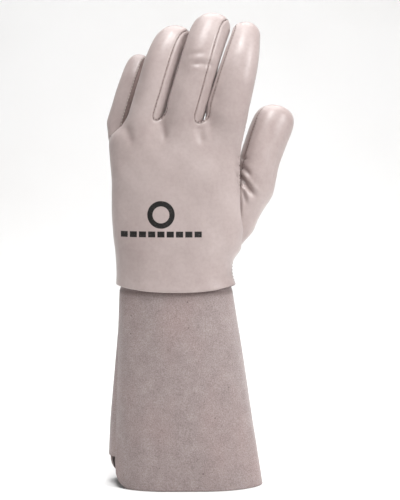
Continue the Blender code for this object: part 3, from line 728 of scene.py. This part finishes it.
def subdivided(levels):
    mesh = bpy.data.meshes.new("skin_cage")
    mesh.from_pydata([tuple(p) for p in cage["points"]], [], cage["faces"])
    label = mesh.attributes.new("label", "INT", "FACE")
    label.data.foreach_set("value", cage["labels"])
    obj = bpy.data.objects.new("skin_cage", mesh)
    bpy.context.scene.collection.objects.link(obj)
    modifier = obj.modifiers.new("smooth", "SUBSURF")
    modifier.levels = modifier.render_levels = levels
    evaluated = obj.evaluated_get(bpy.context.evaluated_depsgraph_get())
    dense = bpy.data.meshes.new_from_object(evaluated)
    points = np.zeros(len(dense.vertices) * 3, np.float32)
    dense.vertices.foreach_get("co", points)
    corners = np.zeros(len(dense.loops), np.int32)
    dense.loops.foreach_get("vertex_index", corners)
    labels = np.zeros(len(dense.polygons), np.int32)
    dense.attributes["label"].data.foreach_get("value", labels)
    bpy.data.objects.remove(obj)
    return points.reshape(-1, 3).astype(float), corners.reshape(-1, 4), labels


skin, quads, labels = subdivided(2)


def areaNormals(points, faces):
    a, b, c, d = (points[faces[:, i]] for i in range(4))
    flat = np.cross(c - a, d - b)
    normals = np.zeros_like(points)
    for i in range(4):
        np.add.at(normals, faces[:, i], flat)
    return normals / np.maximum(np.linalg.norm(normals, axis=1), 1e-9)[:, None]


normals = areaNormals(skin, quads)
backFace = quads[labels == labelNames.index("hand_back")]
if normals[backFace[:, 0], 1].mean() > 0:
    quads = quads[:, ::-1]
    normals = -normals

seamPanels = {}    # which panel of leather each label belongs to; there is a seam where two of them meet
for i, label in enumerate(labelNames):
    if label == "thumb_set_in":
        panel = "set_in"
    elif label.startswith("thumb"):
        panel = label.split("_")[0] + label.split("_")[1]
    elif "fork" in label:
        panel = "fork_" + label
    elif "side" in label:
        panel = "side"
    else:
        panel = label.split("_")[1]
    seamPanels[i] = panel
panelIndex = {p: i for i, p in enumerate(sorted(set(seamPanels.values())))}
panelOfFace = np.array([panelIndex[seamPanels[i]] for i in labels])
forkPanels = {v for k, v in panelIndex.items() if k.startswith("fork")}
sidePanel = panelIndex["side"]

edges = np.concatenate([quads[:, [i, (i + 1) % 4]] for i in range(4)])
owner = np.tile(np.arange(len(quads)), 4)
keys = np.sort(edges, axis=1)
order = np.lexsort((keys[:, 1], keys[:, 0]))
keys, owner = keys[order], owner[order]
same = (keys[1:] == keys[:-1]).all(axis=1)
first, second = owner[:-1][same], owner[1:][same]
pairKeys = keys[:-1][same]
pa, pb = panelOfFace[first], panelOfFace[second]
isFork = np.isin(pa, list(forkPanels)) | np.isin(pb, list(forkPanels))
isSide = (pa == sidePanel) | (pb == sidePanel)
thumbSoft = {panelIndex["set_in"], panelIndex["thumbback"], panelIndex["thumbpalm"]}
softJoin = (pa == panelIndex["set_in"]) & np.isin(pb, list(thumbSoft)) | \
    (pb == panelIndex["set_in"]) & np.isin(pa, list(thumbSoft))
seamEdges = pairKeys[(pa != pb) & ~(isFork & isSide) & ~softJoin]
print("skin:", len(skin), "points,", len(seamEdges), "seam edges")

ends = skin[seamEdges[:, 0]], skin[seamEdges[:, 1]]
samples = np.concatenate([ends[0] * (1 - share) + ends[1] * share for share in (0.0, 0.25, 0.5, 0.75)])
tree = KDTree(len(samples))
for i, p in enumerate(samples):
    tree.insert(p, i)
tree.balance()
seamDistance = np.array([tree.find(p)[2] for p in skin])

surface = {
    "grooveDepth": 0.6, "grooveWidth": 0.7, "rollHeight": 0.22, "rollAt": 2.1, "rollWidth": 1.1,
    "seamShadeWidth": 0.5, "seamShade": 0.7, "leather": 0.9,
    "swells": ((0.35, 46.0, 0.4), (0.12, 17.0, 2.0)),    # mm high, mm from one to the next, and a start
    "creaseShade": 0.25, "shadedFrom": 0.4,     # only creases deeper than this are darker
}
push = -surface["grooveDepth"] * np.exp(-(seamDistance / surface["grooveWidth"]) ** 2)
push += surface["rollHeight"] * np.exp(-((seamDistance - surface["rollAt"]) / surface["rollWidth"]) ** 2)
creaseShade = np.exp(-(seamDistance / surface["seamShadeWidth"]) ** 2) * surface["seamShade"]


def swellAt(p, size, seed):
    # long shallow waves in three slanting directions, between -1 and 1
    q = p / size * 2 * math.pi
    return (np.sin(q[:, 0] * 1.0 + q[:, 2] * 0.6 + seed) + np.sin(q[:, 1] * 1.3 - q[:, 2] * 0.8 + seed * 2.1)
            + np.sin(q[:, 0] * 0.7 - q[:, 1] * 0.9 + q[:, 2] * 1.1 + seed * 0.7)) / 3


for height, size, seed in surface["swells"]:
    push += height * swellAt(skin, size, seed)

# creases and ridges on the back: a path of x and z, mm outwards, and width
creases = [
    # dimples below the crotches
    ([(-0.5, 277.0), (2.0, 262.0)], -1.0, 3.0), ([(-29.0, 281.0), (-26.0, 265.0)], -1.0, 2.8),
    ([(-56.0, 277.0), (-51.0, 262.0)], -1.2, 2.6),
    # across the middle finger
    ([(-7.0, 321.5), (2.0, 322.6), (11.0, 320.5)], -0.75, 1.5), ([(-9.0, 329.0), (4.0, 330.5)], -0.45, 1.6),
    ([(-6.0, 317.8), (8.0, 317.0)], 0.4, 1.8), ([(-7.0, 325.6), (7.0, 326.0)], 0.35, 1.6),
    # the web of the thumb
    ([(27.5, 240.0), (33.0, 235.0), (42.0, 222.0)], -2.2, 1.5),
    ([(28.0, 246.5), (34.0, 243.0), (39.0, 238.0)], -1.6, 1.3),
    ([(28.5, 252.0), (36.0, 250.5)], -1.5, 1.4),
    ([(28.0, 236.0), (32.0, 228.0), (36.0, 216.0)], -1.3, 1.7),
    ([(31.0, 239.5), (38.0, 233.0), (46.0, 224.0)], 1.0, 1.7),
    ([(30.0, 233.0), (35.0, 225.0), (38.5, 217.0)], 0.8, 1.6),
]
for path, depth, width in creases:
    path = np.array(path, float)
    best = np.full(len(skin), 1e9)
    along = np.zeros(len(skin))
    for i in range(len(path) - 1):
        a, b = path[i], path[i + 1]
        d = b - a
        t = np.clip(((skin[:, 0] - a[0]) * d[0] + (skin[:, 2] - a[1]) * d[1]) / (d @ d), 0, 1)
        away = np.hypot(skin[:, 0] - a[0] - d[0] * t, skin[:, 2] - a[1] - d[1] * t)
        closer = away < best
        best = np.where(closer, away, best)
        along = np.where(closer, (i + t) / (len(path) - 1), along)
    onBack = np.clip(-normals[:, 1] * 2.0, 0, 1)
    fade = np.clip(np.sin(np.pi * np.clip(along * 0.9 + 0.05, 0, 1)) * 1.5, 0, 1)    # runs out at both ends
    amount = np.exp(-(best / width) ** 2) * onBack * fade
    push += depth * amount
    if depth < -surface["shadedFrom"]:
        creaseShade = np.maximum(creaseShade, amount * surface["creaseShade"] * min(1.0, -depth))

# bulges and hollows that shape the outline: the little finger's side of the hand, the thumb and its base
sides = (   # x and z of the middle, reach in each direction, mm outwards, and which way the skin faces
    (-70.0, 267.0, 12.0, 8.0, 4.4, -1), (58.0, 244.0, 18.0, 22.0, -3.2, 1), (38.0, 195.0, 13.0, 9.0, 3.2, 1),
    (31.0, 182.0, 10.0, 7.0, 3.4, 1), (27.0, 164.0, 9.0, 12.0, -1.5, 1),
)
for x, z, reachX, reachZ, amount, facing in sides:
    near = np.exp(-((skin[:, 0] - x) / reachX) ** 2 - ((skin[:, 2] - z) / reachZ) ** 2)
    push += amount * near * np.clip(normals[:, 0] * facing * 1.4, 0, 1)

skin = skin + normals * push[:, None]
normals = areaNormals(skin, quads)
print("skin shaped")


def linkMesh(name, points, faces, material, attributes=None, loopNormals=None, smooth=True):
    mesh = bpy.data.meshes.new(name)
    mesh.from_pydata([tuple(p) for p in toFrame(points)], [], [tuple(int(i) for i in f) for f in faces])
    mesh.polygons.foreach_set("use_smooth", [smooth] * len(mesh.polygons))
    for key, values in (attributes or {}).items():
        mesh.attributes.new(key, "FLOAT", "POINT").data.foreach_set("value", np.asarray(values, np.float32))
    mesh.materials.append(material)
    if loopNormals is not None:
        mesh.normals_split_custom_set([tuple(n) for n in loopNormals])
    obj = bpy.data.objects.new(name, mesh)
    bpy.context.scene.collection.objects.link(obj)
    return obj


def walledSheet(points, faces, outNormals, thickness):
    # the outer faces, the inner ones and the cut edges between them, with a normal for each corner
    count = len(points)
    inner = points - outNormals * thickness
    allPoints = np.concatenate([points, inner])
    loopEdges = {}
    for f in faces:
        for i in range(len(f)):
            a, b = f[i], f[(i + 1) % len(f)]
            loopEdges[(a, b)] = True
    rims = [(b, a, a + count, b + count) for a, b in loopEdges if (b, a) not in loopEdges]
    allFaces = [tuple(f) for f in faces] + [tuple(i + count for i in reversed(f)) for f in faces] + rims
    cornerNormals = [outNormals[i] for f in faces for i in f]
    cornerNormals += [-outNormals[i] for f in faces for i in reversed(f)]
    for rim in rims:
        corners = [allPoints[i] for i in rim]
        flat = np.cross(corners[2] - corners[0], corners[3] - corners[1])
        flat = flat / max(np.linalg.norm(flat), 1e-9)
        cornerNormals += [flat] * 4
    return allPoints, allFaces, cornerNormals


# pieces of skin, one for each panel of each zone, with the solids that each stands for
fingerBlendFrom = 0.5


def blendFor(obj, zone):
    if zone == "hand":
        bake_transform(obj)
        return
    name, level = zone
    part = digits[name]
    if level == "lower":
        start, end = spine(part, fingerBlendFrom)[0], spine(part, part["rootFold"])[0]
        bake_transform(obj)
    else:
        start, end = spine(part, part["midStart"])[0], spine(part, part["midEnd"])[0]
        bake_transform(obj)


def zoneOf(label):
    for name in digits:
        if label.startswith(name) and (label.endswith("_lower") or label.endswith("_upper")):
            return name, label.rsplit("_", 1)[1]
    return "hand"


for index, label in enumerate(labelNames):
    faces = quads[labels == index]
    used, inverse = np.unique(faces, return_inverse=True)
    faces = inverse.reshape(-1, 4)
    material = printedGrain if label == "hand_back" else grain
    # the surfaces in the gap between the ring and little fingers take the darker leather, painted shade
    if label in ("little_inner_side_lower", "little_inner_side_upper", "ring_little_fork"):
        material = shadedSplit
    points, allFaces, cornerNormals = walledSheet(skin[used], faces.tolist(), normals[used],
                                                  surface["leather"])
    shade = np.concatenate([creaseShade[used], creaseShade[used]])
    piece = linkMesh(f"{label}_skin", points, allFaces, material,
                     {"painted_shade": shade}, cornerNormals)
    zone = zoneOf(label)
    blendFor(piece, zone)
    node = {"hand_back": "hand_back_leather", "hand_palm": "hand_palm_leather",
            "thumb_set_in": "thumb_set_in_leather"}.get(label, label)
    stands = [node]
    if label == "hand_back":
        stands.append("wrist_fold_leather")
    if zone != "hand" and "_back_" in label:
        stands.append(f"{zone[0]}_root_fold" if zone[1] == "lower" else f"{zone[0]}_mid_fold")
    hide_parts(*stands)
print("skin pieces made")

# sewing: separate stitches that lie on the skin

bvh = BVHTree.FromPolygons([Vector(p) for p in skin], [tuple(q) for q in quads.tolist()])


def onSkin(point):
    found, normal = bvh.find_nearest(Vector(point))[:2]
    return np.array(found), np.array(normal)


stitchShape = {
    "pitch": 2.5, "length": 1.25, "thick": 0.8, "lift": 0.02, "sides": 6, "endDepth": 0.12,
    # share of the length, share of the thickness and mm outwards of each ring of points
    "rings": ((0.08, 0.55, -0.06), (0.5, 1.0, 0.1), (0.92, 0.55, -0.06)),
}


def stitchMesh(paths, shape):
    points, faces = [], []
    for path, offset in paths:
        path = np.array(path)
        lengths = np.concatenate([[0.0], np.cumsum(np.linalg.norm(np.diff(path, axis=0), axis=1))])
        count = int(lengths[-1] / shape["pitch"])
        for k in range(count):
            middle = (k + 0.5) * shape["pitch"]
            reach = shape["length"] / 2
            ends = [np.array([np.interp(at, lengths, path[:, i]) for i in range(3)])
                    for at in (middle - reach, middle + reach)]
            along = ends[1] - ends[0]
            along /= np.linalg.norm(along)
            n = onSkin((ends[0] + ends[1]) / 2)[1]
            side = np.cross(n, along)
            placed = []
            for e in ends:
                p, pn = onSkin(e + side * offset)
                placed.append(p + pn * shape["lift"])
            base = len(points)
            radius = shape["thick"] / 2
            along = placed[1] - placed[0]
            length = np.linalg.norm(along)
            along /= max(length, 1e-6)
            n = n - along * (n @ along)
            n /= np.linalg.norm(n)
            side = np.cross(n, along)
            m = shape["sides"]
            for share, size, lift in shape["rings"]:
                centrePoint = placed[0] + along * length * share + n * lift
                for a in range(m):
                    turn = 2 * math.pi * a / m
                    points.append(centrePoint + (side * math.cos(turn) + n * math.sin(turn)) * radius * size)
            points += [p - n * shape["endDepth"] for p in placed]
            for row in (base, base + m):
                for a in range(m):
                    b = (a + 1) % m
                    faces.append((row + a, row + m + a, row + m + b, row + b))
            for a in range(m):
                b = (a + 1) % m
                faces.append((base + 3 * m, base + a, base + b))
                faces.append((base + 3 * m + 1, base + 2 * m + b, base + 2 * m + a))
    return np.array(points), faces


def seamPath(name, degrees, low, high, steps=40):
    part = digits[name]
    return [fingerPoint(part, low + (high - low) * i / steps, degrees) for i in range(steps + 1)]


seams = {   # digit: (seam angle, offset across it, thread)
    "index": ((0, 0.9, "brown"), (142, -0.7, "brown"), (218, 0.7, "brown")),
    "middle": ((38, 0.0, "brown"), (142, 0.0, "brown"), (218, 0.0, "brown"), (322, 0.0, "brown")),
    "ring": ((38, 0.0, "brown"), (142, 0.0, "brown"), (218, 0.0, "brown"), (322, 0.0, "brown")),
    "little": ((38, 0.8, "pale"), (218, 0.0, "brown"), (322, 0.0, "brown")),
    "thumb": ((0, 0.9, "brown"), (180, -0.9, "brown")),
}


def addStitches(name, paths, zone, nodes, thread):
    points, faces = stitchMesh(paths, stitchShape)
    piece = linkMesh(name, points, faces, paleThread if thread == "pale" else brownThread)
    blendFor(piece, zone)
    if nodes:
        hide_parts(*nodes)


seamStart = 0.5     # mm up each digit
seamEnd = 0.8       # share of the dome of the tip
for name in digits:
    part = digits[name]
    top = part["straight"] + part["domeLength"] * seamEnd
    for level, low, high in (("lower", seamStart, part["cut"]), ("upper", part["cut"], top)):
        for thread in ("pale", "brown"):
            paths = [(seamPath(name, angle, low, high), offset)
                     for angle, offset, kind in seams[name] if kind == thread]
            if not paths:
                continue
            first = seams[name][0][2] == thread
            nodes = [f"{name}_back_seam_thread"] if level == "upper" and first else []
            addStitches(f"{name}_{level}_{thread}_stitches", paths, (name, level), nodes, thread)

handSeams = []
rowsBelowSeams = 3    # the hem's own rows carry no seam
for column, offset in ((0, 0.9), (len(backIds[0]) - 1, 0.0)):
    path = [cage["points"][backIds[r][column]] for r in range(rowsBelowSeams, len(backIds))]
    handSeams.append((path, offset))
addStitches("thumb_side_stitches", handSeams[:1], "hand", ["thumb_side_seam_thread"], "brown")
addStitches("palm_edge_stitches", handSeams[1:], "hand", ["palm_edge_seam_thread"], "brown")
openingPath = [cage["points"][i] for i in loop + loop[:1]]
addStitches("thumb_opening_stitches", [(openingPath, 1.0)], "hand", [], "brown")
forkPaths = []
for i, name in enumerate(fingerNames[:3]):
    start = backColumn[name] + backPoints[name] - 1
    forkPaths.append(([cage["points"][backIds[-1][c]] for c in range(start, start + 5)], 0.0))
    start = palmColumn[fingerNames[i + 1]] + palmPoints[fingerNames[i + 1]] - 1
    forkPaths.append(([cage["points"][palmIds[-1][c]] for c in range(start, start + 5)], 0.0))
addStitches("fork_stitches", forkPaths, "hand", [], "brown")
print("sewing made")

# cuff: one sheet of split leather, lapped at the little-finger side
cuffShape = {
    "leather": 1.5, "columns": 220, "rows": 96, "lap": 13.0, "layerDrop": 1.6, "layerSlope": 8.0,
    "frontEdge": (176.0, 157.0), "edgePower": 0.8,      # degrees round the cuff, at its top and at its rim
    "frontCorner": 17.0, "rearCorner": 22.0, "rearShift": 34.0,
    "tuck": 8.0, "tuckInset": 1.15, "tuckSlope": 4.0,   # what goes up inside the hand
    "bow": 3.0, "bowAt": 188.0, "bowAngle": 17.0, "bowTop": 120.0, "bowSlope": 70.0,
    # mm, turns round the cuff, turn with height, and where it starts
    "waves": ((0.55, 3.0, 0.021, 0.6), (0.35, 7.0, -0.035, 0.0)), "wavesFadeOver": 40.0, "inset": 0.35,
    "middle": (-14.0, -6.0),
}


def cuffPoint(height, angle, smaller=0.0):
    share = min(height, cuffLength) / cuffLength
    middle = np.array(cuffRim["middle"]) + (np.array(cuffTop["middle"]) - cuffRim["middle"]) * share
    halfWidth = cuffRim["halfWidth"] + (cuffTop["halfWidth"] - cuffRim["halfWidth"]) * share
    halfDepth = cuffRim["halfDepth"] + (cuffTop["halfDepth"] - cuffRim["halfDepth"]) * share
    return ovalPoint(np.array([middle[0], middle[1], height]), xAxis, yAxis, halfWidth - smaller,
                     halfDepth - smaller, halfDepth - smaller, angle)


def cuffSheet():
    shape = cuffShape
    points, faces, shade = [], [], []
    rows, columns = shape["rows"], shape["columns"]
    edgeTop, edgeRim = shape["frontEdge"]
    for r in range(rows + 1):
        share = r / rows
        start = math.radians(edgeRim + (edgeTop - edgeRim) * share ** shape["edgePower"])
        halfWidth = cuffRim["halfWidth"] + (cuffTop["halfWidth"] - cuffRim["halfWidth"]) * share
        halfDepth = cuffRim["halfDepth"] + (cuffTop["halfDepth"] - cuffRim["halfDepth"]) * share
        # once round from the front edge, going by the back of the hand first, and on under that edge
        angles = evenAngles(halfWidth, halfDepth, halfDepth, start, start - 2 * math.pi,
                            np.linspace(0, 1, columns + 1))
        ring = np.array([cuffPoint(1.0, a) for a in angles])
        total = np.linalg.norm(np.diff(ring, axis=0), axis=1).sum()
        lapShare = shape["lap"] / total
        shares = np.linspace(0, 1 + lapShare, columns + 1)
        wrapped = np.where(shares <= 1, shares, shares - 1)
        base = np.interp(wrapped, np.linspace(0, 1, columns + 1), angles)
        for c in range(columns + 1):
            run = shares[c] * total            # mm from the front edge
            left = (1 + lapShare) * total - run   # mm to the hidden end
            low = 0.0
            corner = shape["frontCorner"]
            if run < corner:
                low = corner - math.sqrt(corner ** 2 - (corner - run) ** 2)
            beyond = min(max(shape["rearShift"] + shape["rearCorner"] - left, 0), shape["rearCorner"])
            low = max(low, shape["rearCorner"] - math.sqrt(shape["rearCorner"] ** 2 - beyond ** 2))
            top = cuffLength + shape["tuck"]
            height = low + (top - low) * share
            inward = 0.0
            if height > cuffLength - 1:
                inward += shape["tuckInset"] * min(1.0, (height - cuffLength + 1) / shape["tuckSlope"])
            # the rear layer goes under the front one
            drop = min(max((shape["lap"] + shape["layerSlope"] - left) / shape["layerSlope"], 0), 1)
            inward += shape["layerDrop"] * drop * drop * (3 - 2 * drop)
            p = cuffPoint(height, base[c], inward)
            wave = sum(size * math.sin(base[c] * turns + height * lean + first)
                       for size, turns, lean, first in shape["waves"])
            wave *= min(1.0, (cuffLength - min(height, cuffLength)) / shape["wavesFadeOver"])
            if run > total / 2:    # the rear layer stands a little beyond the front one at the side
                around = math.degrees(base[c]) % 360
                bow = shape["bow"] * math.exp(-((around - shape["bowAt"]) / shape["bowAngle"]) ** 2)
                wave += bow * min(1.0, max(0.0, (shape["bowTop"] - height) / shape["bowSlope"]))
            away = (p - np.array([*shape["middle"], height])) * (1, 1, 0)
            p = p + away / np.linalg.norm(away) * (wave - shape["inset"])
            points.append(p)
            # darker along its cut edges, and a painted shadow just below the hand's hem
            atEdge = 0.22 * math.exp(-(run / 0.7) ** 2) + 0.2 * math.exp(-((height - low) / 0.6) ** 2)
            hemShadow = 0.95 * math.exp(-((height - cuffLength + 0.8) / 1.6) ** 2)
            shade.append(min(1.0, atEdge + hemShadow))
    for r in range(rows):
        for c in range(columns):
            a = r * (columns + 1) + c
            faces.append((a, a + 1, a + columns + 2, a + columns + 1))
    return np.array(points), np.array(faces), np.array(shade)


cuffPoints, cuffFaces, cuffShade = cuffSheet()
cuffNormals = areaNormals(cuffPoints, cuffFaces)
outward = (cuffPoints - np.array([*cuffShape["middle"], 0])) * (1, 1, 0)
if (cuffNormals * outward).sum(axis=1).mean() < 0:
    cuffFaces = cuffFaces[:, ::-1]
    cuffNormals = -cuffNormals
points, allFaces, cornerNormals = walledSheet(cuffPoints, cuffFaces.tolist(), cuffNormals,
                                              cuffShape["leather"])
cuff = linkMesh("cuff_split_skin", points, allFaces, split,
                {"painted_shade": np.concatenate([cuffShade, cuffShade])}, cornerNormals)
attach(cuff, "cuff")
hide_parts("cuff_split_leather", "cuff_side_thread")
print("cuff made")

# the thread under the hem is the solid itself, and shows only from inside
wristThread = frame["nodes"]["wrist_seam_thread"].data
wristThread.materials.clear()
wristThread.materials.append(brownThread)

# stage, lights and camera


def paintedCard(name, code, roughness):
    material, tree, shader, place = newMaterial(name, {"Roughness": roughness})
    clouds = {"Scale": perMm(400.0), "Detail": 2.0, "Roughness": 0.5}
    setInputs(tree, shader, {"Base Color": mottled(tree, place, clouds, code, "#fdfdfd", 0.2, 0.8)})
    return material


studio = {   # metres
    "floorHalf": 3.0, "wallAt": 2.0, "bendRadius": 0.7, "bendSteps": 12, "wallHeight": 3.0,
    "floorDrop": 0.0004, "card": "#f6f5f4",
}


def sweep():
    reach, radius = studio["floorHalf"], studio["bendRadius"]
    profile = [(-reach, 0.0)]
    for i in range(studio["bendSteps"] + 1):
        a = math.pi / 2 * i / studio["bendSteps"]
        profile.append((studio["wallAt"] - radius + radius * math.sin(a), radius * (1 - math.cos(a))))
    profile.append((studio["wallAt"], studio["wallHeight"]))
    points = [(x, y, z - studio["floorDrop"]) for y, z in profile for x in (-reach, reach)]
    faces = [(2 * i, 2 * i + 1, 2 * i + 3, 2 * i + 2) for i in range(len(profile) - 1)]
    mesh = bpy.data.meshes.new("paper_sweep")
    mesh.from_pydata(points, [], faces)
    mesh.polygons.foreach_set("use_smooth", [True] * len(mesh.polygons))
    mesh.materials.append(paintedCard("matt_card", studio["card"], 0.9))
    obj = bpy.data.objects.new("paper_sweep", mesh)
    bpy.context.scene.collection.objects.link(obj)


sweep()
lights = {   # place in metres, size, power in watts
    "keySoftbox": ((1.1, -0.6, 1.1), 0.5, 13.0), "fillSoftbox": ((0.25, -1.6, 0.6), 1.0, 1.2),
    "topSoftbox": ((0.02, -0.4, 1.3), 0.35, 9.5), "wallSoftbox": ((0.0, 0.7, 2.3), 1.9, 46.0),
}
lightsAim = Vector((0, 0, 0.18))
for name, (place, size, power) in lights.items():
    data = bpy.data.lights.new(name, "AREA")
    data.size, data.energy = size, power
    lamp = bpy.data.objects.new(name, data)
    bpy.context.scene.collection.objects.link(lamp)
    lamp.location = place
    lamp.rotation_euler = (lightsAim - Vector(place)).to_track_quat("-Z", "Y").to_euler()
world = bpy.data.worlds.new("studio")
bpy.context.scene.world = world
world.use_nodes = True
background = world.node_tree.nodes["Background"]
background.inputs["Color"].default_value = (1.0, 0.99, 0.985, 1.0)
background.inputs["Strength"].default_value = 0.12

view = {   # metres, degrees, and millimetres of sensor; height is what the picture takes in at the aim
    "aim": (-0.0012, 0.0, 0.18), "distance": 0.95, "elevation": 5.0, "height": 0.387, "sensor": 24.0,
}
camera = bpy.data.cameras.new("camera")
camera.sensor_fit = "VERTICAL"
camera.sensor_height = view["sensor"]
camera.lens = view["sensor"] * view["distance"] / view["height"]
eye = bpy.data.objects.new("camera", camera)
bpy.context.scene.collection.objects.link(eye)
lift = math.radians(view["elevation"])
eye.location = Vector(view["aim"]) + Vector((0, -math.cos(lift), math.sin(lift))) * view["distance"]
eye.rotation_euler = (Vector(view["aim"]) - eye.location).to_track_quat("-Z", "Y").to_euler()
bpy.context.scene.camera = eye
bpy.context.scene.view_settings.view_transform = "Standard"
print("studio ready")
